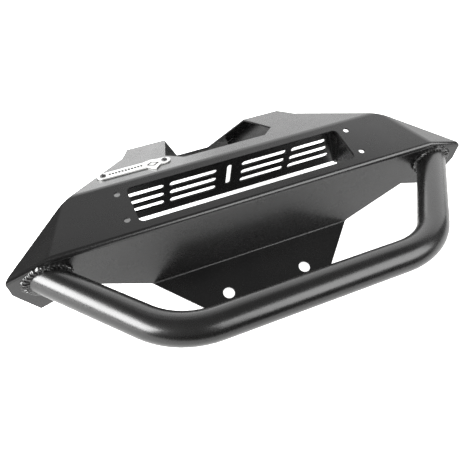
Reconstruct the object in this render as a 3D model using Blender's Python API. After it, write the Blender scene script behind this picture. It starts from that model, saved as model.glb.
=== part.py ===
"""Front grille guard for a small off-road vehicle.

A welded sheet-steel bumper with a bent tube hoop. It lies on its back, as it would on a bench:
X is to the right, Y is rearward, Z is up, and z = 0 is the surface that the bolt tab and the
rear plate rest on. Sheet pieces are drawn as their visible surface and thickened behind it.
"""
import math

import bmesh
import bpy
from mathutils import Matrix, Vector

# ---- driving dimensions, metres and degrees ----
SHEET = 0.0027              # 12 gauge steel sheet
GAP = 0.0003                # clearance left between touching pieces
CLEAR = 0.0005              # clearance at welded edges inside the shell

FACE_TILT = 7.0             # tilts are measured from +Y towards +Z
TOP_TILT = -19.0
REAR_TILT = -54.5
LOWER_TILT = -86.0
TAB_TILT = -164.0
VENT_TILT = -79.0

FACE_DEPTH = 0.0960         # front corner to the bend into the top plate
TOP_DEPTH = 0.1250          # that bend to the top plate's rear edge
LOWER_DEPTH = 0.1267        # front corner down to the tab's bend
TAB_DEPTH = 0.0720
LIP = 0.0068                # width of the shell's bottom lip
TOP_SETBACK = 0.0040        # where each bend's arc starts, back from the sharp corner
LIP_SETBACK = 0.0062
WING_SETBACK = 0.0040
TAB_SETBACK = 0.0022
VENT_SETBACK = 0.0020

FACE_HALF = 0.3050          # half widths, from the centre line
TOP_HALF = 0.2500
SHOULDER_HALF = 0.2660
SHOULDER_DEPTH = 0.0852     # up the face to where the wing's fold starts
TIP_HALF = 0.3635
TIP_DROP = 0.0178           # wing tip below the front corner, down the lower plate

EAR_OUTLINE = ((0.1528, 0.0912), (0.1371, 0.1250), (0.0720, 0.1250), (0.0920, 0.0560), (0.0690, 0.0305))
FLANGE_OUTLINE = ((0.3610, 0.0499), (0.3330, 0.0985), (0.2655, 0.0752))
TAB_BEND_HALF = 0.1695
TAB_END_HALF = 0.1025

OPENING_HALF = 0.1730       # light-bar opening in the face
OPENING_NEAR = 0.0172
OPENING_FAR = 0.0823
OPENING_CORNER = 0.0080
FACE_HOLE_HALF = 0.1882
FACE_HOLE_DEPTHS = (0.0267, 0.0755)
FACE_HOLE_RADIUS = 0.0045

TAB_HOLE_HALF = 0.0655
TAB_HOLE_DEPTH = 0.0537
TAB_HOLE_RADIUS = 0.0092

VENT_START = 0.1001         # Y of the vent panel's top edge
VENT_START_Z = 0.0048
VENT_DEPTH = 0.1014
VENT_TOP_HALF = 0.1720
VENT_BOTTOM_HALF = 0.2065
VENT_FLANGE = 0.0270        # end flange width at the top, tapering to the next at the bottom
VENT_FLANGE_END = 0.0050
VENT_FLANGE_NOTCH = 0.0060  # the end flange's front corner sits this far below the panel's top
SLOT_ROWS = (0.0360, 0.0563, 0.0766)
SLOT_HEIGHT = 0.0110
SLOT_INNER = (0.0215, 0.1005)
SLOT_OUTER = 0.1100
SLOT_MARGIN = 0.0095        # outer slots stop this far from the panel's slanted ends
CENTRE_SLOT_WIDTH = 0.0085
CENTRE_SLOT = (0.0290, 0.0770)

REAR_NOTCH_HALF = 0.0306
REAR_NOTCH_DEPTH = 0.1234
REAR_TAPER = 0.3126         # sideways taper of the rear plate for each unit down it
GUSSET_HALF = 0.1048        # gusset's place at the bend, where it follows the taper
GUSSET_FRONT = 0.0580       # its front edge, down the top plate
GUSSET_BOTTOM = 0.1150      # its lower edge, down the rear plate
GUSSET_TIP = 0.0260         # height of those two short edges
END_PLATE_PAST_VENT = 0.0400
END_PLATE_CHAMFER = 0.0040  # clears the inside of the bottom bend

TUBE_RADIUS = 0.022225      # 1.75 inch tube
TUBE_WALL = 0.0030
TUBE_BEND = 0.1000          # centre-line bend radius
HOOP_HALF = 0.1842          # corners of the hoop's centre line
HOOP_REACH = 0.1684
HOOP_DROP = 0.0142
FOOT_HALF = 0.3128          # where its centre line meets the flange
FOOT_DROP = 0.0370
HOOP_WELD = 0.0072           # leg of the weld round each foot
SEAM_OFFSET = 0.0013        # seam beads sit this far below their joint, clear of the face plate
SEAM_BEAD = 0.0024          # half width of the seam beads
FACE_SEAM_CENTRES = (-0.240, -0.080, 0.080, 0.240)
REAR_SEAM = (0.1110, 0.1300)
REAR_BEAD = 0.0045
STITCH_HALF = 0.0180        # half length of the face seam beads
WING_STITCH = (0.30, 0.85)  # where the wing's bead starts and ends, as shares of its lip
GUSSET_STITCH = (0.0350, 0.1050)
WALL_STITCH = (0.0300, 0.0720)
WALL_BEAD = 0.0040
VENT_BEAD = 0.0035
FLAT_BEAD_RISE = 0.6        # height of a flat bead, as a share of its half width
FILLET_FULL = 0.82          # how far a fillet bulges from its root, as a share of its leg
SHALLOW_FULL = 0.45         # the same in the wide corner at the rear

BADGE_CENTRE = 0.1470       # left of the centre line
BADGE_DEPTH = 0.0347
BADGE_LENGTH = 0.1150
BADGE_WIDTH = 0.0222
BADGE_THICK = 0.0020
BADGE_SCREW_PITCH = 0.0957
BADGE_LOBE = 0.0285         # centre of the diamond lobe, from the badge's centre
LOBE_HALF = 0.0100          # the lobe's half width and rise, on the front side and the rear side
LOBE_RISE = 0.0125
LOBE_TOP_HALF = 0.0125
LOBE_TOP_RISE = 0.0038
SCREW_SHANK = 0.0022
SCREW_HOLE = 0.0027
SCREW_HEAD = 0.0047
SCREW_RISE = 0.0026         # height of the button head
SCREW_REACH = 0.0062        # length of the shank below the sheet
SCREW_CHAMFER = 0.0005
SOCKET_RADIUS = 0.0016
SOCKET_DEPTH = 0.0014
BUTTON = ((0.55, 0.96), (0.81, 0.62), (1.0, 0.15))  # shares of the head's radius and height
NUT_RADIUS = 0.0046
NUT_THICK = 0.0045

HOOP_STEPS = 36
BEND_STEPS = 10
RING_STEPS = 40
RING_CROWN = 0.12           # how far a ring weld bulges, as a share of its leg
BEAD_STEPS = 10
SIDES = ((-1, "left"), (1, "right"))


def down(start, tilt, distance):
    """A profile point reached from start by going distance along a tilt."""
    angle = math.radians(tilt)
    return (start[0] + distance * math.cos(angle), start[1] + distance * math.sin(angle))


CORNER = (0.0, 0.0)
TOP_BEND = down(CORNER, FACE_TILT, FACE_DEPTH)
REAR_BEND = down(TOP_BEND, TOP_TILT, TOP_DEPTH)
TAB_BEND = down(CORNER, LOWER_TILT, LOWER_DEPTH)
TAB_END = down(TAB_BEND, TAB_TILT, TAB_DEPTH)
REST = SHEET * math.cos(math.radians(TAB_TILT + 180.0)) - TAB_END[1]
REAR_DEPTH = (REST + REAR_BEND[1] - SHEET * math.cos(math.radians(REAR_TILT))) / math.sin(
    math.radians(-REAR_TILT))
REAR_END = down(REAR_BEND, REAR_TILT, REAR_DEPTH)
MIDDLE_Y = (REAR_END[0] - HOOP_REACH - TUBE_RADIUS) / 2


def place(x, profile_point):
    """World position of a point x across and at a profile point."""
    return Vector((x, profile_point[0] - MIDDLE_Y, profile_point[1] + REST))


class Panel:
    """A flat panel: start is its first edge in profile, tilt its direction away from that edge."""

    def __init__(self, start, tilt):
        angle = math.radians(tilt)
        self.start = start
        self.tilt = tilt
        self.run = Vector((0.0, math.cos(angle), math.sin(angle)))
        self.normal = Vector((0.0, -math.sin(angle), math.cos(angle)))

    def at(self, x, distance, lift=0.0):
        return place(x, down(self.start, self.tilt, distance)) + self.normal * lift

    def plane(self, lift=0.0):
        """Point and normal of the plane that lies lift above the panel's surface."""
        return self.at(0.0, 0.0, lift), self.normal


FACE = Panel(CORNER, FACE_TILT)
TOP = Panel(TOP_BEND, TOP_TILT)
REAR = Panel(REAR_BEND, REAR_TILT)
LOWER = Panel(CORNER, LOWER_TILT)
TAB = Panel(TAB_BEND, TAB_TILT)
VENT = Panel((VENT_START, VENT_START_Z), VENT_TILT)
BACK = SHEET + CLEAR        # lower, tab and vent normals point rearward or down, away from the front


def clear_scene():
    for item in list(bpy.data.objects):
        bpy.data.objects.remove(item, do_unlink=True)


def material(name, colour, roughness, metallic):
    finish = bpy.data.materials.get(name)
    if finish is None:
        finish = bpy.data.materials.new(name)
        finish.use_nodes = True
        shader = finish.node_tree.nodes["Principled BSDF"]
        shader.inputs["Base Color"].default_value = (*colour, 1.0)
        shader.inputs["Roughness"].default_value = roughness
        shader.inputs["Metallic"].default_value = metallic
    return finish


def powder_coat():
    return material("black_powder_coat", (0.032, 0.032, 0.034), 0.38, 0.0)


def tube_coat():
    return material("gloss_black_coat", (0.028, 0.028, 0.030), 0.26, 0.0)


def weld_coat():
    return material("coated_weld", (0.025, 0.025, 0.027), 0.18, 0.0)


def badge_metal():
    return material("satin_aluminium", (0.78, 0.79, 0.80), 0.35, 1.0)


def black_steel():
    return material("black_oxide_steel", (0.04, 0.04, 0.042), 0.40, 1.0)


def add_object(name, mesh_builder, finish, smooth=False):
    mesh = bpy.data.meshes.new(name)
    mesh_builder.to_mesh(mesh)
    mesh_builder.free()
    if smooth:
        mesh.shade_smooth()
        mesh.set_sharp_from_angle(angle=math.radians(35.0))
    mesh.materials.append(finish)
    item = bpy.data.objects.new(name, mesh)
    bpy.context.scene.collection.objects.link(item)
    return item


def mirrored(points):
    """Points on the right, then their mirror images on the left in reverse order."""
    return list(points) + [(-x, d) for x, d in reversed(points)]


def sheet(name, faces, bends):
    """A bent sheet. faces: lists of surface points whose normals point at the visible side.
    bends: (point, point, setback) for each bend line to be rounded."""
    builder = bmesh.new()
    corners = {}

    def vertex(point):
        key = tuple(round(value, 6) for value in point)
        if key not in corners:
            corners[key] = builder.verts.new(point)
        return corners[key]

    for outline, normal in faces:
        face = builder.faces.new([vertex(point) for point in outline])
        face.normal_update()
        if face.normal.dot(normal) < 0:
            face.normal_flip()
    for setback in sorted({bend[2] for bend in bends}, reverse=True):
        edges = []
        for first, second, own in bends:
            if own == setback:
                edges += edges_between(builder, first, second)
        bmesh.ops.bevel(builder, geom=edges, offset=setback, offset_type="OFFSET", segments=4,
                        profile=0.5, affect="EDGES", clamp_overlap=False)
    item = add_object(name, builder, powder_coat())
    thicken = item.modifiers.new("thickness", "SOLIDIFY")
    thicken.thickness = SHEET
    thicken.offset = -1.0
    thicken.use_even_offset = True
    thicken.use_quality_normals = True
    return item


def edges_between(builder, first, second, reach=0.004):
    """The edges whose both ends lie on the line from first to second."""
    line = (second - first).normalized()
    found = []
    for edge in builder.edges:
        ends = [vert.co - first for vert in edge.verts]
        if len(edge.link_faces) != 2:
            continue
        if all((end - line * end.dot(line)).length < 0.0001 for end in ends):
            if all(-reach < end.dot(line) < (second - first).length + reach for end in ends):
                found.append(edge)
    return found


def prism(builder, outline, normal, low, high):
    """A closed prism over an outline, from low to high along normal."""
    bottom = [builder.verts.new(point + normal * low) for point in outline]
    top = [builder.verts.new(point + normal * high) for point in outline]
    count = len(outline)
    faces = [builder.faces.new(top), builder.faces.new(list(reversed(bottom)))]
    for index in range(count):
        after = (index + 1) % count
        faces.append(builder.faces.new((bottom[index], bottom[after], top[after], top[index])))
    bmesh.ops.recalc_face_normals(builder, faces=faces)


def rounded_outline(panel, centre, half_across, half_along, radius, steps=6):
    """A rounded rectangle on a panel, as points in order."""
    points = []
    for turn, (side, end) in enumerate(((1, 1), (-1, 1), (-1, -1), (1, -1))):
        x = centre[0] + side * (half_across - radius)
        d = centre[1] + end * (half_along - radius)
        for step in range(steps + 1):
            angle = math.pi / 2 * (turn + step / steps)
            points.append(panel.at(x + radius * math.cos(angle), d + radius * math.sin(angle)))
    return without_doubles(points)


def round_outline(panel, centre, radius, steps=20):
    points = []
    for step in range(steps):
        angle = math.tau * step / steps
        points.append(panel.at(centre[0] + radius * math.cos(angle), centre[1] + radius * math.sin(angle)))
    return points


def without_doubles(points):
    kept = []
    for point in points:
        if not kept or (point - kept[-1]).length > 1e-6:
            kept.append(point)
    if (kept[0] - kept[-1]).length < 1e-6:
        kept.pop()
    return kept


def cut(item, outlines, panel):
    """Cuts holes through an object, one for each outline on the panel."""
    builder = bmesh.new()
    for outline in outlines:
        prism(builder, outline, panel.normal, -0.012, 0.012)
    cutter = add_object(item.name + "_cutter", builder, powder_coat())
    cutter.hide_render = True
    cutter.display_type = "WIRE"
    holes = item.modifiers.new("holes", "BOOLEAN")
    holes.operation = "DIFFERENCE"
    holes.solver = "EXACT"
    holes.object = cutter


def lip_line(width):
    """The right half of the shell's bottom edge, width below it: corner point and tip point."""
    slope = TIP_DROP / (TIP_HALF - FACE_HALF)
    drop = width * math.hypot(1.0, slope)
    return (FACE_HALF + (width - drop) / slope, width), (TIP_HALF, TIP_DROP + drop)


def front_shell():
    face = [FACE.at(x, d) for x, d in mirrored(
        [(FACE_HALF, 0.0), (SHOULDER_HALF, SHOULDER_DEPTH), (TOP_HALF, FACE_DEPTH)])]
    top = [TOP.at(x, d) for x, d in mirrored([(TOP_HALF, 0.0), *EAR_OUTLINE])]
    corner, tip = lip_line(LIP)
    upper_edge = mirrored([(TIP_HALF, TIP_DROP), (FACE_HALF, 0.0)])
    lip = [LOWER.at(x, d) for x, d in upper_edge + [(-tip[0], tip[1]), (-corner[0], corner[1]), corner, tip]]
    faces = [(face, FACE.normal), (top, TOP.normal), (lip, -LOWER.normal)]
    bends = [(TOP.at(-TOP_HALF, 0.0), TOP.at(TOP_HALF, 0.0), TOP_SETBACK),
             (LOWER.at(-FACE_HALF, 0.0), LOWER.at(FACE_HALF, 0.0), LIP_SETBACK)]
    for side in (-1, 1):
        shoulder = FACE.at(side * SHOULDER_HALF, SHOULDER_DEPTH)
        corner = FACE.at(side * FACE_HALF, 0.0)
        tip = LOWER.at(side * TIP_HALF, TIP_DROP)
        faces.append(([shoulder, corner, tip], Vector((side * 0.3, 0.0, 1.0))))
        bends.append((corner, tip, LIP_SETBACK))
        bends.append((shoulder, corner, WING_SETBACK))
    shell = sheet("front_shell", faces, bends)
    middle = (OPENING_NEAR + OPENING_FAR) / 2
    opening = rounded_outline(FACE, (0.0, middle), OPENING_HALF, OPENING_FAR - middle, OPENING_CORNER)
    holes = [opening]
    for side in (-1, 1):
        for depth in FACE_HOLE_DEPTHS:
            holes.append(round_outline(FACE, (side * FACE_HOLE_HALF, depth), FACE_HOLE_RADIUS))
    cut(shell, holes, FACE)
    cut(shell, [round_outline(TOP, (x, BADGE_DEPTH), SCREW_HOLE) for x in badge_screw_places()], TOP)


def lower_plate():
    start = lip_line(LIP + GAP)
    outline = mirrored([start[0], start[1], *FLANGE_OUTLINE, (TAB_BEND_HALF, LOWER_DEPTH)])
    plate = [LOWER.at(x, d) for x, d in outline]
    tab = [TAB.at(x, d) for x, d in mirrored([(TAB_BEND_HALF, 0.0), (TAB_END_HALF, TAB_DEPTH)])]
    bend = (TAB.at(-TAB_BEND_HALF, 0.0), TAB.at(TAB_BEND_HALF, 0.0), TAB_SETBACK)
    item = sheet("lower_plate", [(plate, -LOWER.normal), (tab, -TAB.normal)], [bend])
    cut(item, [round_outline(TAB, (side * TAB_HOLE_HALF, TAB_HOLE_DEPTH), TAB_HOLE_RADIUS, 28)
               for side in (-1, 1)], TAB)


def vent_half(distance):
    return VENT_TOP_HALF + (VENT_BOTTOM_HALF - VENT_TOP_HALF) * distance / VENT_DEPTH


def vent_panel():
    corners = [(VENT_TOP_HALF, 0.0), (VENT_BOTTOM_HALF, VENT_DEPTH)]
    panel = [VENT.at(x, d) for x, d in mirrored(corners)]
    faces = [(panel, -VENT.normal)]
    bends = []
    for side in (-1, 1):
        fold = [VENT.at(side * x, d) for x, d in corners]
        slant = (fold[1] - fold[0]).normalized()
        forward = -VENT.normal
        edge = [fold[1] + forward * VENT_FLANGE_END,
                fold[0] + forward * VENT_FLANGE + slant * VENT_FLANGE_NOTCH]
        faces.append((fold + edge, Vector((-side, 0.0, 0.0))))
        bends.append((fold[0], fold[1], VENT_SETBACK))
    item = sheet("vent_panel", faces, bends)
    slots = []
    for row in SLOT_ROWS:
        outer = vent_half(row) - SLOT_MARGIN
        for side in (-1, 1):
            for near, far in (SLOT_INNER, (SLOT_OUTER, outer)):
                centre = (side * (near + far) / 2, row)
                slots.append(rounded_outline(VENT, centre, (far - near) / 2, SLOT_HEIGHT / 2,
                                             SLOT_HEIGHT / 2 - 0.0001, 5))
    middle = sum(CENTRE_SLOT) / 2
    slots.append(rounded_outline(VENT, (0.0, middle), CENTRE_SLOT_WIDTH / 2, CENTRE_SLOT[1] - middle,
                                 CENTRE_SLOT_WIDTH / 2 - 0.0001, 5))
    cut(item, slots, VENT)


def meet(first, second, third):
    """The point where three planes, each a point and a normal, meet."""
    matrix = Matrix((first[1], second[1], third[1]))
    return matrix.inverted() @ Vector([point.dot(normal) for point, normal in (first, second, third)])


def flat_plate(name, face, thickness, sides):
    """A flat plate between a face plane and its offset, trimmed by side planes given in order."""
    layers = []
    for lift in (0.0, thickness):
        layer = (face[0] + face[1] * lift, face[1])
        layers.append([meet(layer, sides[i], sides[(i + 1) % len(sides)]) for i in range(len(sides))])
    builder = bmesh.new()
    low = [builder.verts.new(point) for point in layers[0]]
    high = [builder.verts.new(point) for point in layers[1]]
    builder.faces.new(low)
    builder.faces.new(list(reversed(high)))
    for i in range(len(sides)):
        after = (i + 1) % len(sides)
        builder.faces.new((low[after], low[i], high[i], high[after]))
    bmesh.ops.recalc_face_normals(builder, faces=builder.faces[:])
    return add_object(name, builder, powder_coat())


def sided(vector, side):
    """A vector of the right half, mirrored when side is -1."""
    return Vector((side * vector.x, vector.y, vector.z))


def level(depth):
    """A horizontal plane, depth below the front corner."""
    return LOWER.at(0.0, depth), Vector((0.0, 0.0, 1.0))


def to_the_right(vector):
    return vector if vector.x > 0 else -vector


def end_wall():
    """Inner face of the right end plate: it leans out with the vent panel's slanted end."""
    top, bottom = VENT.at(VENT_TOP_HALF, 0.0), VENT.at(VENT_BOTTOM_HALF, VENT_DEPTH)
    outward = to_the_right((bottom - top).cross(VENT.normal).normalized())
    return top + outward * (SHEET + GAP), outward


def end_plates():
    inner, outward = end_wall()
    corner = FACE.at(0.0, 0.0, -BACK) + LOWER.normal * BACK
    diagonal = Vector((0.0, 1.0, -1.0))
    chamfer = (corner + diagonal * END_PLATE_CHAMFER, diagonal.normalized())
    sides = [LOWER.plane(BACK), chamfer, FACE.plane(-BACK), TOP.plane(-BACK),
             VENT.plane(END_PLATE_PAST_VENT), (VENT.at(0.0, VENT_DEPTH), Vector((0.0, 0.0, 1.0)))]
    for side, word in SIDES:
        flat_plate(f"end_plate_{word}", (sided(inner, side), sided(outward, side)), SHEET, sides)


def slanted_edge(panel, near, far):
    """Plane square to a panel, through two points (x, distance) on it."""
    start = panel.at(*near)
    return start, (panel.at(*far) - start).cross(panel.normal)


def rear_plate():
    ear_out, ear_in = EAR_OUTLINE[1][0], EAR_OUTLINE[2][0]
    joint = (TOP.at(0.0, TOP_DEPTH + GAP), TOP.run)
    sides = [(REAR.at(0.0, REAR_NOTCH_DEPTH), REAR.run)]
    for side, last in ((1, (REAR.at(0.0, REAR_DEPTH), REAR.run)), (-1, None)):
        notch = slanted_edge(REAR, (side * ear_in, 0.0), (side * REAR_NOTCH_HALF, REAR_NOTCH_DEPTH))
        outer = slanted_edge(REAR, (side * ear_out, 0.0), (side * (ear_out - REAR_TAPER), 1.0))
        sides += [notch, joint, outer, last] if last else [outer, joint, notch]
    flat_plate("rear_plate", REAR.plane(), -SHEET, sides)


def gusset_directions():
    """Along the right gusset's edge on the rear plate, and out from its outer side."""
    along = (REAR.run - Vector((REAR_TAPER, 0.0, 0.0))).normalized()
    return along, to_the_right(along.cross(REAR.normal).normalized())


def gussets():
    outward = gusset_directions()[1]
    foot = REAR.at(GUSSET_HALF, 0.0, -BACK)
    upper = TOP.at(0.0, GUSSET_FRONT, -GUSSET_TIP)
    lower = REAR.at(0.0, GUSSET_BOTTOM, -GUSSET_TIP)
    brace = (lower - upper).normalized()
    sides = [REAR.plane(-BACK), TOP.plane(-BACK), (upper, TOP.run),
             (upper, Vector((0.0, -brace.z, brace.y))), (lower, REAR.run)]
    for side, word in SIDES:
        flat_plate(f"gusset_{word}", (sided(foot, side), sided(outward, side)), SHEET, sides)


def hoop_corners():
    """Centre line of the hoop: left foot, left corner, right corner, right foot."""
    corner = place(HOOP_HALF, (-HOOP_REACH, -HOOP_DROP))
    foot = LOWER.at(FOOT_HALF, FOOT_DROP / math.sin(math.radians(-LOWER_TILT)))
    return [sided(foot, -1), sided(corner, -1), corner, foot]


def hoop_bend(before, corner, after):
    """Centres and directions along the bend at a corner of the hoop's centre line."""
    back = (before - corner).normalized()
    onward = (after - corner).normalized()
    turn = math.pi - back.angle(onward)
    start = corner + back * TUBE_BEND * math.tan(turn / 2)
    side = (onward - back * onward.dot(back)).normalized()
    centre = start + side * TUBE_BEND
    stations = []
    for step in range(BEND_STEPS + 1):
        angle = turn * step / BEND_STEPS
        radial = -side * math.cos(angle) - back * math.sin(angle)
        direction = -back * math.cos(angle) + side * math.sin(angle)
        stations.append((centre + radial * TUBE_BEND, direction))
    return stations


def hoop_tube():
    corners = hoop_corners()
    bends = hoop_bend(*corners[:3]) + hoop_bend(*corners[1:])
    stations = [(corners[0], bends[0][1]), *bends, (corners[3], bends[-1][1])]
    up = (corners[0] - corners[1]).cross(corners[2] - corners[1]).normalized()
    flange_point, flange_normal = LOWER.plane(-GAP)
    builder = bmesh.new()

    def ring(index, radius):
        centre, direction = stations[index]
        side = direction.cross(up).normalized()
        verts = []
        for step in range(HOOP_STEPS):
            angle = math.tau * step / HOOP_STEPS
            point = centre + (side * math.cos(angle) + up * math.sin(angle)) * radius
            if index in (0, len(stations) - 1):
                gap = (flange_point - point).dot(flange_normal)
                point += direction * gap / direction.dot(flange_normal)
            verts.append(builder.verts.new(point))
        return verts

    outside = [ring(index, TUBE_RADIUS) for index in range(len(stations))]
    inside = [ring(index, TUBE_RADIUS - TUBE_WALL) for index in range(len(stations))]
    loops = outside + inside[::-1]
    for index, near in enumerate(loops):
        far = loops[(index + 1) % len(loops)]
        for step in range(HOOP_STEPS):
            after = (step + 1) % HOOP_STEPS
            builder.faces.new((near[step], near[after], far[after], far[step]))
    bmesh.ops.recalc_face_normals(builder, faces=builder.faces[:])
    add_object("hoop_tube", builder, tube_coat(), smooth=True)


def hoop_welds():
    """A fillet ring around each foot of the hoop, between the tube and the flange."""
    corners = hoop_corners()
    normal = -LOWER.normal
    for name, foot, corner in (("hoop_weld_left", corners[0], corners[1]),
                               ("hoop_weld_right", corners[3], corners[2])):
        axis = (corner - foot).normalized()
        first = axis.cross(Vector((0.0, 0.0, 1.0))).normalized()
        second = axis.cross(first).normalized()
        builder = bmesh.new()
        rings = []
        for step in range(RING_STEPS):
            angle = math.tau * step / RING_STEPS
            radial = first * math.cos(angle) + second * math.sin(angle)
            base = foot + radial * (TUBE_RADIUS + 2 * GAP)
            base += axis * ((foot + normal * GAP - base).dot(normal) / axis.dot(normal))
            flat = (radial - normal * radial.dot(normal)).normalized()
            tip = base + axis * HOOP_WELD
            toe = base + flat * HOOP_WELD
            middle = (tip + toe) / 2 + (radial + normal).normalized() * HOOP_WELD * RING_CROWN
            rings.append([builder.verts.new(point) for point in (base, tip, middle, toe)])
        for step, near in enumerate(rings):
            far = rings[(step + 1) % len(rings)]
            for index in range(4):
                after = (index + 1) % 4
                builder.faces.new((near[index], near[after], far[after], far[index]))
        bmesh.ops.recalc_face_normals(builder, faces=builder.faces[:])
        add_object(name, builder, weld_coat(), smooth=True)


def sweep(name, rings):
    """A closed solid through rings of points, with a cap at each end."""
    builder = bmesh.new()
    loops = [[builder.verts.new(point) for point in ring] for ring in rings]
    for near, far in zip(loops, loops[1:]):
        for index in range(len(near)):
            after = (index + 1) % len(near)
            builder.faces.new((near[index], near[after], far[after], far[index]))
    builder.faces.new(loops[0])
    builder.faces.new(loops[-1])
    bmesh.ops.recalc_face_normals(builder, faces=builder.faces[:])
    add_object(name, builder, weld_coat(), smooth=True)


def swell(share, least=0.5):
    """How full a weld bead is at a share of its length: it tapers at both ends."""
    return least + (1.0 - least) * math.sin(math.pi * min(max(share, 0.0), 1.0)) ** 0.35


def fillet_bead(name, ends, first, second, size, full=FILLET_FULL):
    """A weld bead in a corner, with legs along the directions first and second."""
    middle = (first + second).normalized()
    rings = []
    for step in range(BEAD_STEPS + 1):
        width = size * swell(step / BEAD_STEPS)
        root = ends[0].lerp(ends[1], step / BEAD_STEPS)
        rings.append((root, root + first * width, root + middle * width * full, root + second * width))
    sweep(name, rings)


def flat_bead(name, ends, across, out, half):
    """A weld bead with a flat back, lying on a surface whose outward direction is out."""
    rings = []
    for step in range(BEAD_STEPS + 1):
        width = half * swell(step / BEAD_STEPS)
        rise = width * FLAT_BEAD_RISE
        centre = ends[0].lerp(ends[1], step / BEAD_STEPS)
        angles = [math.pi * turn / 5 for turn in range(6)]
        rings.append([centre + across * width * math.cos(angle) + out * rise * math.sin(angle)
                      for angle in angles])
    sweep(name, rings)


def face_seam_welds():
    """Beads behind the joint between the shell's lip and the lower plate."""
    seam = LIP + GAP / 2 + SEAM_OFFSET
    for number, centre in enumerate(FACE_SEAM_CENTRES, start=1):
        ends = [LOWER.at(centre + half, seam, BACK) for half in (-STITCH_HALF, STITCH_HALF)]
        flat_bead(f"face_seam_weld_{number}", ends, LOWER.run, LOWER.normal, SEAM_BEAD)


def wing_seam_welds():
    """Beads behind the joint between each wing's lip and the flange."""
    corner, tip = (Vector(point) for point in lip_line(LIP + GAP / 2 + SEAM_OFFSET))
    for side, word in SIDES:
        places = [corner.lerp(tip, share) for share in WING_STITCH]
        ends = [LOWER.at(side * spot.x, spot.y, BACK) for spot in places]
        across = (ends[1] - ends[0]).normalized().cross(LOWER.normal)
        flat_bead(f"wing_seam_weld_{word}", ends, across, LOWER.normal, SEAM_BEAD)


def rear_seam_welds():
    """Beads in the inside corner between the top plate's ears and the rear plate."""
    for side, word in SIDES:
        ends = []
        for x in REAR_SEAM:
            across = (Vector((side * x, 0.0, 0.0)), Vector((1.0, 0.0, 0.0)))
            ends.append(meet(TOP.plane(-BACK), REAR.plane(-BACK), across))
        fillet_bead(f"rear_seam_weld_{word}", ends, -TOP.run, REAR.run, REAR_BEAD, SHALLOW_FULL)


def gusset_welds():
    """Fillets between each gusset's outer side and the rear plate."""
    along, outward = gusset_directions()
    root = REAR.at(GUSSET_HALF, 0.0, -BACK - GAP) + outward * BACK
    for side, word in SIDES:
        ends = [sided(root + along * distance, side) for distance in GUSSET_STITCH]
        fillet_bead(f"gusset_weld_{word}", ends, sided(outward, side), -REAR.normal, WALL_BEAD)


def end_plate_welds():
    """Upright fillets between each end plate's outer side and the lower plate."""
    inner, outward = end_wall()
    outer = (inner + outward * BACK, outward)
    for side, word in SIDES:
        ends = [sided(meet(outer, LOWER.plane(BACK), level(depth)), side) for depth in WALL_STITCH]
        fillet_bead(f"end_plate_weld_{word}", ends, Vector((side, 0.0, 0.0)), LOWER.normal, WALL_BEAD)


def vent_welds():
    """Upright fillets behind the vent panel, against each end plate's inner side."""
    inner, outward = end_wall()
    wall = (inner - outward * CLEAR, outward)
    for side, word in SIDES:
        ends = [sided(meet(wall, VENT.plane(BACK), level(depth)), side) for depth in WALL_STITCH]
        fillet_bead(f"vent_weld_{word}", ends, Vector((-side, 0.0, 0.0)), VENT.normal, VENT_BEAD)


def badge_screw_places():
    return [-BADGE_CENTRE + side * BADGE_SCREW_PITCH / 2 for side in (-1, 1)]


def badge_outline():
    """A strip with round ends and a plain diamond lobe, as (x, distance) points."""
    half_width = BADGE_WIDTH / 2
    points = []
    for end, lobe_half, lobe_rise in ((1, LOBE_TOP_HALF, LOBE_TOP_RISE), (-1, LOBE_HALF, LOBE_RISE)):
        centre = end * (BADGE_LENGTH / 2 - half_width)
        for step in range(9):
            angle = -end * math.pi / 2 + math.pi * step / 8
            points.append((centre + half_width * math.cos(angle), half_width * math.sin(angle)))
        points += [(BADGE_LOBE + end * lobe_half, end * half_width),
                   (BADGE_LOBE, end * (half_width + lobe_rise)),
                   (BADGE_LOBE - end * lobe_half, end * half_width)]
    return points


def badge():
    outline = [TOP.at(-BADGE_CENTRE + x, BADGE_DEPTH + d) for x, d in badge_outline()]
    builder = bmesh.new()
    prism(builder, outline, TOP.normal, GAP, GAP + BADGE_THICK)
    plate = add_object("badge_plate", builder, badge_metal())
    cut(plate, [round_outline(TOP, (x, BADGE_DEPTH), SCREW_HOLE) for x in badge_screw_places()], TOP)


def turned(name, centre, axis, profile, finish, steps=24):
    """A solid turned about an axis from (radius, height) points, closed on the axis."""
    side = axis.orthogonal().normalized()
    other = axis.cross(side)
    builder = bmesh.new()
    rings = []
    for radius, height in profile:
        if radius == 0.0:
            rings.append([builder.verts.new(centre + axis * height)])
            continue
        ring = []
        for step in range(steps):
            angle = math.tau * step / steps
            spoke = side * math.cos(angle) + other * math.sin(angle)
            ring.append(builder.verts.new(centre + axis * height + spoke * radius))
        rings.append(ring)
    for near, far in zip(rings, rings[1:]):
        for step in range(steps):
            after = (step + 1) % steps
            corners = []
            for ring, index in ((near, step), (near, after), (far, after), (far, step)):
                vert = ring[index] if len(ring) > 1 else ring[0]
                if vert not in corners:
                    corners.append(vert)
            builder.faces.new(corners)
    bmesh.ops.recalc_face_normals(builder, faces=builder.faces[:])
    return add_object(name, builder, finish, smooth=True)


def badge_screw_profile():
    """(radius, height) points of a button-head screw, from its socket down to its tip."""
    seat = 2 * GAP + BADGE_THICK
    top = seat + SCREW_RISE
    tip = -SHEET - SCREW_REACH
    profile = [(0.0, top - SOCKET_DEPTH), (SOCKET_RADIUS, top - SOCKET_DEPTH), (SOCKET_RADIUS, top)]
    profile += [(SCREW_HEAD * across, seat + SCREW_RISE * up) for across, up in BUTTON]
    profile += [(SCREW_HEAD, seat), (SCREW_SHANK, seat), (SCREW_SHANK, tip + SCREW_CHAMFER)]
    return profile + [(SCREW_SHANK - SCREW_CHAMFER, tip), (0.0, tip)]


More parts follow.
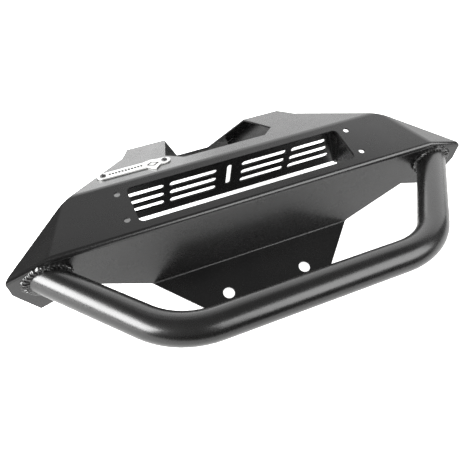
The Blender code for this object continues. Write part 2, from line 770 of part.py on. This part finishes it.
def badge_fasteners():
    for x, word in zip(badge_screw_places(), ("left", "right")):
        turned(f"badge_screw_{word}", TOP.at(x, BADGE_DEPTH), TOP.normal, badge_screw_profile(),
               black_steel())
        builder = bmesh.new()
        prism(builder, round_outline(TOP, (x, BADGE_DEPTH), NUT_RADIUS, 6), TOP.normal,
              -SHEET - GAP - NUT_THICK, -SHEET - GAP)
        nut = add_object(f"badge_nut_{word}", builder, black_steel())
        cut(nut, [round_outline(TOP, (x, BADGE_DEPTH), SCREW_HOLE, 16)], TOP)


def build():
    clear_scene()
    front_shell()
    lower_plate()
    vent_panel()
    end_plates()
    rear_plate()
    gussets()
    hoop_tube()
    hoop_welds()
    face_seam_welds()
    wing_seam_welds()
    rear_seam_welds()
    gusset_welds()
    end_plate_welds()
    vent_welds()
    badge()
    badge_fasteners()


build()
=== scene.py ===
import math

import bmesh
import bpy
from mathutils import Matrix, Vector, noise

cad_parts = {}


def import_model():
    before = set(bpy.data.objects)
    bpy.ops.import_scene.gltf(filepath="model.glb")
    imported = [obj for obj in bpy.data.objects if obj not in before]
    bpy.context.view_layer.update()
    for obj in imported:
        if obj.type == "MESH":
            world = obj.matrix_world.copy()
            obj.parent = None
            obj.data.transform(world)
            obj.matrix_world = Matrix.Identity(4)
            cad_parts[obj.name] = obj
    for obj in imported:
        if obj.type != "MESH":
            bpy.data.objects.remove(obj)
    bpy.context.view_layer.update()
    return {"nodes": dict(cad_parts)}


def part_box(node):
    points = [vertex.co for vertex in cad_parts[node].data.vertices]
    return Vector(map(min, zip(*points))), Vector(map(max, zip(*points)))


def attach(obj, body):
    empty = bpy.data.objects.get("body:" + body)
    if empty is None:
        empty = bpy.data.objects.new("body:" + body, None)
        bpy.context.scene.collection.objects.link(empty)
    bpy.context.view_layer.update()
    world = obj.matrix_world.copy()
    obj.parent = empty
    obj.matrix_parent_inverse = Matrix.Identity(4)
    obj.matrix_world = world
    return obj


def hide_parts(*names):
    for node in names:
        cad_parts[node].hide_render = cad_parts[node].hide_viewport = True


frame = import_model()

# ---- the CAD's own dimensions that the finer pieces need, metres ----
TUBE_RADIUS = 0.022225
LOWER_NORMAL = Vector((0.0, -0.9975641, -0.0697565))
HOOP_FOOT = Vector((0.3128, -0.0510173, 0.1118327))      # where the tube's centre line meets the flange
HOOP_CORNER = Vector((0.1842, -0.2220046, 0.1346327))    # and the corner that it runs towards
TOP_START = Vector((0.0, 0.0416794, 0.1605317))          # the bend between face and top plate
TOP_RUN = Vector((0.0, 0.9455186, -0.3255682))
TOP_NORMAL = Vector((0.0, 0.3255682, 0.9455186))
BADGE_X = -0.1470
BADGE_DEPTH = 0.0347
BADGE_TOP = 0.0023                                       # badge surface above the top plate
SCREW_PITCH = 0.0957
LOBE_X = 0.0285
SIDES = ((-1, "left"), (1, "right"))

# ---- edges and welds ----
SHEET_EDGE = 0.00045                                     # rounding of cut sheet edges
NUT_EDGE = 0.0004
MARK_EDGE = 0.00006
FLAT_ANGLE = 0.4                                         # facets flatter than this are one face, degrees
WELD = 0.0070                                            # leg of the fillet round each foot of the hoop
WELD_RIPPLES = 30
WELD_STEPS = 8                                           # steps along each ripple
WELD_SECTION = 10                                        # points across the fillet
WELD_GAP = 0.0001
RIPPLE_LAG = 0.55                                        # each ripple bows forward at its middle
RIPPLE_ONSET = 0.12
BEAD_PITCH = 0.0034
BEAD_DEPTH = 0.00045

# ---- badge marks and screws ----
MARK_SINK = 0.0002                                       # marks start this far inside the badge
MARK_RISE = 0.00018
BAR_COUNT = 11
BAR_START = -0.0375
BAR_PITCH = 0.0049
BAR_HALF = (0.0016, 0.0030)
DIAMOND_DEPTH = -0.0035
DIAMOND_OUTER = 0.0105
DIAMOND_INNER = 0.0066
DIAMOND_SQUASH = 0.86
HEAD_STEPS = 48
HEAD_PROFILE = ((0.00470, 0.0003), (0.00470, 0.0007), (0.00440, 0.0014), (0.00380, 0.0020),
                (0.00300, 0.0024), (0.00230, 0.0026))    # radius and height
SOCKET = 0.00150                                         # from the socket's centre to its flats
SOCKET_PROFILE = ((0.0026, 1.0), (0.0012, 1.0), (0.0011, 0.05))    # height and share of that size

# ---- stage ----
WHITE = (1.0, 1.0, 0.995, 1.0)
FLOOR_RADIUS = 2.6
FLOOR_LEVEL = -0.0003
FLOOR_LIFT = 0.9                                         # how far the paper is lit past white
DOME_RADIUS = 9.0
FRONT_FLAG = 0.006                                       # how pale each card is
# the card under the part is painted shade: a grey sheet standing in for the shaded floor there
UNDER_CARD_PAINTED_SHADE = 0.20
LIGHT_DISTANCE = 3.0
LIGHT_AIM = Vector((0.0, 0.0, 0.10))
WORLD_LIGHT = 0.27
SOFTBOXES = (                                            # name, azimuth, elevation, width, height, radiance
    ("key_box_left", -90.0, 22.0, 50.0, 30.0, 22.5),
    ("front_box_right", 145.0, 32.0, 48.0, 36.0, 7.6),
    ("rear_box_right", 35.5, 24.0, 91.0, 50.0, 2.15),
    ("rear_box_high", 8.0, 58.0, 36.0, 16.0, 0.9),
    ("rear_box_low", 1.0, 8.0, 26.0, 18.0, 1.6),
)
LENS = 46.17
SENSOR = 36.0
CAMERA_PLACE = (-0.2834, -0.6027, 0.7335)
CAMERA_RIGHT = Vector((0.9176, -0.3975, 0.0))
CAMERA_BACK = Vector((-0.2724, -0.6289, 0.7282))


# ---------------------------------------------------------------- materials
class Nodes:
    """A material's node tree, with short calls to add and join nodes."""

    def __init__(self, name):
        self.material = bpy.data.materials.new(name)
        self.material.use_nodes = True
        self.tree = self.material.node_tree
        self.shader = self.tree.nodes["Principled BSDF"]
        self.position = self.add("ShaderNodeTexCoord").outputs["Object"]

    def add(self, kind, **settings):
        node = self.tree.nodes.new(kind)
        for key, value in settings.items():
            setattr(node, key, value)
        return node

    def join(self, source, target):
        self.tree.links.new(source, target)

    def feed(self, source, socket):
        """Joins a source to one of the shader's own sockets."""
        self.join(source, self.shader.inputs[socket])

    def fix(self, socket, value):
        """Sets one of the shader's own sockets to a constant."""
        self.shader.inputs[socket].default_value = value

    def noise(self, scale, detail=4.0, roughness=0.5, stretch=None):
        node = self.add("ShaderNodeTexNoise")
        node.inputs["Scale"].default_value = scale
        node.inputs["Detail"].default_value = detail
        node.inputs["Roughness"].default_value = roughness
        source = self.position
        if stretch:
            mapping = self.add("ShaderNodeMapping")
            mapping.inputs["Scale"].default_value = stretch
            self.join(source, mapping.inputs["Vector"])
            source = mapping.outputs["Vector"]
        self.join(source, node.inputs["Vector"])
        return node.outputs["Fac"]

    def spread(self, source, low, high, start=0.3, end=0.7):
        """Maps start..end of a source to low..high."""
        node = self.add("ShaderNodeMapRange")
        node.inputs["From Min"].default_value = start
        node.inputs["From Max"].default_value = end
        node.inputs["To Min"].default_value = low
        node.inputs["To Max"].default_value = high
        self.join(source, node.inputs["Value"])
        return node.outputs["Result"]

    def sum(self, first, second):
        node = self.add("ShaderNodeMath", operation="ADD")
        self.join(first, node.inputs[0])
        self.join(second, node.inputs[1])
        return node.outputs[0]

    def colours(self, source, first, second):
        node = self.add("ShaderNodeMix", data_type="RGBA")
        node.inputs["A"].default_value = (*first, 1.0)
        node.inputs["B"].default_value = (*second, 1.0)
        self.join(source, node.inputs["Factor"])
        self.feed(node.outputs["Result"], "Base Color")

    def bump(self, height, distance, under=None):
        node = self.add("ShaderNodeBump")
        node.inputs["Strength"].default_value = 1.0
        node.inputs["Distance"].default_value = distance
        self.join(height, node.inputs["Height"])
        if under:
            self.join(under, node.inputs["Normal"])
        return node.outputs["Normal"]


def powder_coat(name, rough, peel=0.000018, grain=0.000004):
    """Satin powder coat: an orange-peel bump, a finer grain, and faint cloudiness in gloss and tone."""
    coat = Nodes(name)
    cloud = coat.noise(14.0, 5.0)
    speck = coat.noise(900.0, 2.0)
    tone = coat.sum(coat.spread(cloud, 0.0, 0.7), coat.spread(speck, 0.0, 0.3))
    coat.colours(tone, (0.0030, 0.0030, 0.0031), (0.0052, 0.0050, 0.0049))
    gloss = coat.sum(coat.spread(coat.noise(32.0, 6.0, 0.6), *rough), coat.spread(speck, -0.02, 0.02))
    coat.feed(gloss, "Roughness")
    coat.fix("Specular IOR Level", 0.5)
    fine = coat.bump(coat.noise(1600.0, 2.0), grain)
    coat.feed(coat.bump(coat.noise(420.0, 3.0), peel, fine), "Normal")
    return coat.material


def edge_coat_painted_highlight(name):
    """The same coat where it draws thin over a cut edge: duller, with tiny lighter flecks that are a painted
    highlight along the edge.
    """
    coat = Nodes(name)
    # lighter flecks along the cut edge: a painted highlight
    painted_highlight_flecks = coat.spread(coat.noise(210.0, 6.0, 0.7), 0.0, 1.0, 0.52, 0.78)
    coat.colours(painted_highlight_flecks, (0.0030, 0.0030, 0.0030), (0.0090, 0.0088, 0.0085))
    coat.feed(coat.spread(coat.noise(90.0), 0.30, 0.44), "Roughness")
    coat.feed(coat.bump(coat.noise(700.0, 3.0), 0.00004), "Normal")
    return coat.material


def weld_coat(name):
    """Coat pooled over a weld: glossy, with small pits and ripples left by the arc."""
    coat = Nodes(name)
    tone = coat.spread(coat.noise(160.0), 0.0, 1.0)
    coat.colours(tone, (0.0035, 0.0035, 0.0035), (0.0080, 0.0078, 0.0075))
    coat.feed(coat.spread(coat.noise(260.0), 0.06, 0.15), "Roughness")
    fine = coat.bump(coat.noise(900.0, 3.0), 0.00010)
    coat.feed(coat.bump(coat.noise(240.0, 3.0), 0.00035, fine), "Normal")
    return coat.material


def brushed_metal(name):
    """Satin aluminium brushed along the badge, with fine scratches and faint stains."""
    metal = Nodes(name)
    lines = metal.noise(60.0, 4.0, 0.6, stretch=(1.0, 60.0, 60.0))
    stains = metal.noise(90.0)
    tone = metal.sum(metal.spread(lines, 0.0, 0.6), metal.spread(stains, 0.0, 0.4))
    metal.colours(tone, (0.44, 0.44, 0.435), (0.62, 0.62, 0.61))
    metal.feed(metal.spread(lines, 0.40, 0.54), "Roughness")
    metal.fix("Metallic", 1.0)
    metal.feed(metal.bump(lines, 0.00003), "Normal")
    return metal.material


def black_oxide(name):
    """Black-oxide steel: dark, mottled and slightly oily."""
    steel = Nodes(name)
    tone = steel.spread(steel.noise(500.0, 5.0), 0.0, 1.0)
    steel.colours(tone, (0.020, 0.020, 0.021), (0.060, 0.058, 0.058))
    steel.feed(steel.spread(steel.noise(350.0), 0.25, 0.45), "Roughness")
    steel.fix("Metallic", 0.8)
    steel.feed(steel.bump(steel.noise(1500.0, 3.0), 0.00003), "Normal")
    return steel.material


def dark_inlay(name):
    """Matt dark paint on the badge's raised marks."""
    paint = Nodes(name)
    tone = paint.spread(paint.noise(700.0), 0.0, 1.0)
    paint.colours(tone, (0.012, 0.012, 0.013), (0.045, 0.044, 0.043))
    paint.fix("Specular IOR Level", 0.04)
    paint.feed(paint.spread(paint.noise(500.0, 3.0), 0.55, 0.75), "Roughness")
    paint.feed(paint.bump(paint.noise(1200.0, 2.0), 0.00002), "Normal")
    return paint.material


SHEET_COAT = powder_coat("sheet_powder_coat", (0.23, 0.29))
TUBE_COAT = powder_coat("tube_powder_coat", (0.24, 0.30))
# edge coat, lighter in flecks as a painted highlight along the cut edges
EDGE_COAT = edge_coat_painted_highlight("edge_powder_coat")
WELD_COAT = weld_coat("coated_weld_bead")
BADGE_METAL = brushed_metal("brushed_aluminium")
BLACK_STEEL = black_oxide("black_oxide_steel_fine")
INLAY = dark_inlay("dark_inlay_paint")


# ---------------------------------------------------------------- pieces
def copy_of(node):
    """A welded, flat-faced bmesh of a CAD node."""
    source = frame["nodes"][node].data
    builder = bmesh.new()
    verts = [builder.verts.new(vert.co) for vert in source.vertices]
    for face in source.polygons:
        try:
            builder.faces.new([verts[index] for index in face.vertices])
        except ValueError:
            continue
    bmesh.ops.remove_doubles(builder, verts=builder.verts[:], dist=0.000002)
    return builder


def whole_faces(node):
    """The same, with the facets of each flat side joined into one face."""
    builder = copy_of(node)
    bmesh.ops.dissolve_limit(builder, angle_limit=math.radians(FLAT_ANGLE), verts=builder.verts[:],
                             edges=builder.edges[:])
    return builder


def linked(name, builder, finishes):
    """An object in the scene, made from a bmesh, which it uses up."""
    mesh = bpy.data.meshes.new(name)
    builder.normal_update()
    builder.to_mesh(mesh)
    builder.free()
    for finish in finishes:
        mesh.materials.append(finish)
    item = bpy.data.objects.new(name, mesh)
    bpy.context.scene.collection.objects.link(item)
    return item


def piece(name, builder, slot, *finishes, replaces=()):
    item = linked(name, builder, finishes)
    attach(item, "root")
    if replaces:
        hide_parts(*replaces)
    return item


def soften(item, width, segments=2, edge_finish=0):
    """Rounds every sharp edge and keeps the flats flat."""
    item.data.shade_smooth()
    bevel = item.modifiers.new("edge", "BEVEL")
    bevel.width = width
    bevel.segments = segments
    bevel.limit_method = "ANGLE"
    bevel.angle_limit = math.radians(40.0)
    bevel.use_clamp_overlap = True
    bevel.material = edge_finish
    bevel.harden_normals = True
    weighted = item.modifiers.new("normals", "WEIGHTED_NORMAL")
    weighted.keep_sharp = True
    weighted.weight = 100


def smooth(item, sharp):
    """Smooth shading, but for edges sharper than the given angle in degrees."""
    item.data.shade_smooth()
    item.data.set_sharp_from_angle(angle=math.radians(sharp))


def skin(builder, loops, closed=False):
    """Joins each loop of vertices to the next, and the last to the first if closed."""
    follow = loops[1:] + loops[:1] if closed else loops[1:]
    for near, far in zip(loops, follow):
        for index in range(len(near)):
            after = (index + 1) % len(near)
            builder.faces.new((near[index], near[after], far[after], far[index]))


def outward(builder):
    bmesh.ops.recalc_face_normals(builder, faces=builder.faces[:])


def sheet_piece(node):
    item = piece(node + "_coated", whole_faces(node), "powder_coat", SHEET_COAT, EDGE_COAT,
                 replaces=(node,))
    soften(item, SHEET_EDGE, edge_finish=1)


def hoop_piece():
    item = piece("hoop_tube_coated", copy_of("hoop_tube"), "tube_coat", TUBE_COAT,
                 replaces=("hoop_tube",))
    smooth(item, 40.0)


def weld_ring(side, word):
    """A hand-laid fillet round a foot of the hoop, built up as overlapping ripples."""
    steps = WELD_RIPPLES * WELD_STEPS
    mirror = Vector((side, 1.0, 1.0))
    foot = HOOP_FOOT * mirror
    axis = (HOOP_CORNER * mirror - foot).normalized()
    first = axis.cross(Vector((0.0, 0.0, 1.0))).normalized()
    second = axis.cross(first).normalized()
    builder = bmesh.new()
    rings = []
    for step in range(steps):
        ring = []
        turn = math.tau * step / steps
        radial = first * math.cos(turn) + second * math.sin(turn)
        base = foot + radial * (TUBE_RADIUS + WELD_GAP)
        base += axis * ((foot + LOWER_NORMAL * WELD_GAP - base).dot(LOWER_NORMAL) / axis.dot(LOWER_NORMAL))
        flat = (radial - LOWER_NORMAL * radial.dot(LOWER_NORMAL)).normalized()
        out = (radial + LOWER_NORMAL).normalized()
        wobble = 1.0 + 0.28 * noise.noise(base * 110.0) + 0.16 * noise.noise(base * 330.0)
        for index in range(WELD_SECTION):
            share = index / (WELD_SECTION - 1)
            swell = math.sin(math.pi * share)
            phase = (step / steps * WELD_RIPPLES - RIPPLE_LAG * swell) % 1.0
            crest = (1.0 - phase) ** 0.6 * min(phase / RIPPLE_ONSET, 1.0)
            leg = WELD * wobble * (0.94 + 0.10 * crest)
            point = base + axis * leg * (1.0 - share) + flat * leg * share
            point += out * swell * WELD * (0.12 + 0.30 * crest)
            ring.append(builder.verts.new(point))
        ring.append(builder.verts.new(base))
        rings.append(ring)
    skin(builder, rings, closed=True)
    outward(builder)
    item = piece(f"hoop_weld_{word}_rippled", builder, "weld_coat", WELD_COAT,
                 replaces=(f"hoop_weld_{word}",))
    smooth(item, 60.0)


def bead_piece(node):
    """A straight weld bead with ripples along it."""
    builder = copy_of(node)
    low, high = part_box(node)
    spots = [vert.co.copy() for vert in builder.verts]
    start = min(spots, key=lambda spot: spot.dot(high - low))
    end = max(spots, key=lambda spot: (spot - start).length)
    along = (end - start).normalized()
    bmesh.ops.subdivide_edges(builder, edges=builder.edges[:], cuts=3, use_grid_fill=True)
    builder.normal_update()
    moves = []
    for vert in builder.verts:
        place = (vert.co - start).dot(along)
        crest = abs(math.sin(math.pi * place / BEAD_PITCH)) ** 0.7
        moves.append(vert.normal * BEAD_DEPTH * (crest - 0.9 + 0.5 * noise.noise(vert.co * 300.0)))
    for vert, move in zip(builder.verts, moves):
        vert.co += move
    item = piece(node + "_rippled", builder, "weld_coat", WELD_COAT, replaces=(node,))
    item.data.shade_smooth()


def badge_spot(x, depth, lift):
    """A place on the top plate: across from the badge's centre, down the plate, and off it."""
    return TOP_START + Vector((BADGE_X + x, 0.0, 0.0)) + TOP_RUN * (BADGE_DEPTH + depth) + TOP_NORMAL * lift


def badge_loop(builder, points, lift):
    return [builder.verts.new(badge_spot(x, depth, lift)) for x, depth in points]


def badge_pieces():
    plate = piece("badge_plate_brushed", whole_faces("badge_plate"), "badge_metal", BADGE_METAL,
                  replaces=("badge_plate",))
    soften(plate, SHEET_EDGE)
    marks = bmesh.new()
    for index in range(BAR_COUNT):
        raised_bar(marks, BAR_START + index * BAR_PITCH)
    raised_diamond(marks)
    soften(piece("badge_marks", marks, "fastener", INLAY), MARK_EDGE, 1)


def raised_bar(builder, centre):
    half_x, half_depth = BAR_HALF
    outline = [(centre + across * half_x, along * half_depth)
               for across, along in ((-1, -1), (1, -1), (1, 1), (-1, 1))]
    lower = badge_loop(builder, outline, BADGE_TOP - MARK_SINK)
    upper = badge_loop(builder, outline, BADGE_TOP + MARK_RISE)
    builder.faces.new(list(reversed(lower)))
    builder.faces.new(upper)
    skin(builder, [lower, upper])
    outward(builder)


def raised_diamond(builder):
    """A plain diamond ring on the badge's lobe."""
    loops = []
    for radius, lifts in ((DIAMOND_OUTER, (-MARK_SINK, MARK_RISE)), (DIAMOND_INNER, (MARK_RISE, -MARK_SINK))):
        outline = [(LOBE_X + across * radius, DIAMOND_DEPTH + along * radius * DIAMOND_SQUASH)
                   for across, along in ((1, 0), (0, 1), (-1, 0), (0, -1))]
        for lift in lifts:
            loops.append(badge_loop(builder, outline, BADGE_TOP + lift))
    skin(builder, loops, closed=True)
    outward(builder)


def screw_head(side, word):
    """A button head with a hexagon socket, over the CAD screw's own shank."""
    across = side * SCREW_PITCH / 2
    angles = [math.tau * step / HEAD_STEPS for step in range(HEAD_STEPS)]
    builder = bmesh.new()
    loops = []
    for radius, height in HEAD_PROFILE:
        outline = [(across + radius * math.cos(angle), radius * math.sin(angle)) for angle in angles]
        loops.append(badge_loop(builder, outline, BADGE_TOP + height))
    for height, scale in SOCKET_PROFILE:
        outline = []
        for angle in angles:
            within = (angle + math.pi / 6) % (math.pi / 3) - math.pi / 6
            radius = SOCKET / math.cos(within) * scale
            outline.append((across + radius * math.cos(angle), radius * math.sin(angle)))
        loops.append(badge_loop(builder, outline, BADGE_TOP + height))
    skin(builder, loops)
    builder.faces.new(loops[-1])
    builder.faces.new(list(reversed(loops[0])))
    outward(builder)
    add_shank(builder, word, badge_spot(across, 0.0, BADGE_TOP))
    item = piece(f"badge_screw_{word}_socket", builder, "fastener", BLACK_STEEL,
                 replaces=(f"badge_screw_{word}",))
    smooth(item, 38.0)


def add_shank(builder, word, seat):
    """Adds the CAD screw below its seat, closed at the top."""
    shank = copy_of(f"badge_screw_{word}")
    doomed = [vert for vert in shank.verts if (vert.co - seat).dot(TOP_NORMAL) > 0.0001]
    bmesh.ops.delete(shank, geom=doomed, context="VERTS")
    bmesh.ops.holes_fill(shank, edges=[edge for edge in shank.edges if len(edge.link_faces) == 1])
    mesh = bpy.data.meshes.new("shank")
    shank.to_mesh(mesh)
    shank.free()
    builder.from_mesh(mesh)
    bpy.data.meshes.remove(mesh)


def nut_piece(word):
    item = piece(f"badge_nut_{word}_chamfered", whole_faces(f"badge_nut_{word}"), "fastener", BLACK_STEEL,
                 replaces=(f"badge_nut_{word}",))
    soften(item, NUT_EDGE)


SHEETS = ("front_shell", "lower_plate", "vent_panel", "rear_plate", "end_plate_left", "end_plate_right",
          "gusset_left", "gusset_right")
for node_name in sorted(frame["nodes"]):
    if node_name in SHEETS:
        sheet_piece(node_name)
    elif "weld" in node_name and not node_name.startswith("hoop"):
        bead_piece(node_name)
hoop_piece()
badge_pieces()
for side, word in SIDES:
    weld_ring(side, word)
    screw_head(side, word)
    nut_piece(word)


# ---------------------------------------------------------------- floor, light and camera
def stage_piece(name, builder, finish):
    item = linked(name, builder, (finish,))
    return item


def floor():
    """A round sheet of plain white paper, just under the part. The camera sees it a little past white."""
    builder = bmesh.new()
    bmesh.ops.create_circle(builder, cap_ends=True, segments=96, radius=FLOOR_RADIUS,
                            matrix=Matrix.Translation((0.0, 0.0, FLOOR_LEVEL)))
    paper = Nodes("white_paper")
    grain = paper.noise(200.0)
    paper.colours(grain, (0.87, 0.87, 0.865), (0.89, 0.89, 0.885))
    paper.feed(paper.spread(grain, 0.75, 0.9), "Roughness")
    paper.fix("Specular IOR Level", 0.2)
    seen = paper.add("ShaderNodeLightPath").outputs["Is Camera Ray"]
    paper.feed(paper.spread(seen, 0.0, FLOOR_LIFT, 0.0, 1.0), "Emission Strength")
    paper.fix("Emission Color", WHITE)
    stage_piece("floor", builder, paper.material)


def backdrop():
    """A plain white dome behind everything, which gives no light of its own to the part."""
    builder = bmesh.new()
    bmesh.ops.create_uvsphere(builder, u_segments=48, v_segments=24, radius=DOME_RADIUS)
    glow = Nodes("white_backdrop")
    glow.colours(glow.noise(1.0), (0.0, 0.0, 0.0), (0.0, 0.0, 0.0))
    glow.fix("Emission Color", WHITE)
    glow.fix("Emission Strength", 1.0)
    item = stage_piece("backdrop", builder, glow.material)
    item.visible_diffuse = False
    item.visible_glossy = False
    item.visible_transmission = False
    item.visible_volume_scatter = False
    item.visible_shadow = False


def flag(name, corners, tone):
    """A dark card that only reflections and bounced light see."""
    builder = bmesh.new()
    builder.faces.new([builder.verts.new(corner) for corner in corners])
    felt = Nodes("felt_" + name)
    felt.colours(felt.noise(300.0), [tone * 0.7] * 3, [tone] * 3)
    felt.fix("Roughness", 0.9)
    felt.fix("Specular IOR Level", 0.0)
    item = stage_piece(name, builder, felt.material)
    item.visible_camera = False
    item.visible_shadow = False


def flags():
    """One card in front keeps the far floor out of the tube's reflection. The other is painted shade: a grey
    sheet lying under the part in place of the shaded floor, which keeps the bright paper out of the
    reflections inside it."""
    front, top, lift = -0.56, 0.225, 0.0006
    flag("front_flag", ((-1.1, front, 0.01), (0.8, front, 0.01), (0.8, front, top), (-1.1, front, top)),
         FRONT_FLAG)
    # painted shade: a grey card under the part stands in for the shaded floor in reflections
    flag("painted_shade_under_card", ((-0.24, -0.03, lift), (0.24, -0.03, lift), (0.20, 0.23, lift), (-0.20, 0.23, lift)),
         UNDER_CARD_PAINTED_SHADE)


def softbox(name, azimuth, elevation, across, upright, radiance):
    """A soft area light aimed at the part. Azimuth 0 is behind it, positive to the right.
    across and upright are the angles that it fills, in degrees."""
    turn, rise = math.radians(azimuth), math.radians(elevation)
    towards = Vector((math.sin(turn) * math.cos(rise), math.cos(turn) * math.cos(rise), math.sin(rise)))
    light = bpy.data.lights.new(name, "AREA")
    light.shape = "RECTANGLE"
    light.size = 2.0 * LIGHT_DISTANCE * math.tan(math.radians(across / 2))
    light.size_y = 2.0 * LIGHT_DISTANCE * math.tan(math.radians(upright / 2))
    light.energy = radiance * light.size * light.size_y * math.pi
    item = bpy.data.objects.new(name, light)
    item.location = LIGHT_AIM + towards * LIGHT_DISTANCE
    item.rotation_mode = "QUATERNION"
    item.rotation_quaternion = towards.to_track_quat("Z", "Y")
    item.visible_camera = False
    bpy.context.scene.collection.objects.link(item)


def world():
    sky = bpy.data.worlds.new("studio")
    bpy.context.scene.world = sky
    sky.use_nodes = True
    fill = sky.node_tree.nodes["Background"]
    fill.inputs["Color"].default_value = (1.0, 1.0, 1.0, 1.0)
    fill.inputs["Strength"].default_value = WORLD_LIGHT


def camera():
    lens = bpy.data.cameras.new("camera")
    lens.sensor_width = SENSOR
    lens.lens = LENS
    item = bpy.data.objects.new("camera", lens)
    right = CAMERA_RIGHT.normalized()
    back = CAMERA_BACK.normalized()
    up = back.cross(right).normalized()
    turned = Matrix((right, up, back)).transposed().to_4x4()
    item.matrix_world = Matrix.Translation(CAMERA_PLACE) @ turned
    bpy.context.scene.collection.objects.link(item)
    bpy.context.scene.camera = item


floor()
backdrop()
flags()
world()
for box in SOFTBOXES:
    softbox(*box)
camera()
bpy.context.scene.view_settings.view_transform = "Standard"
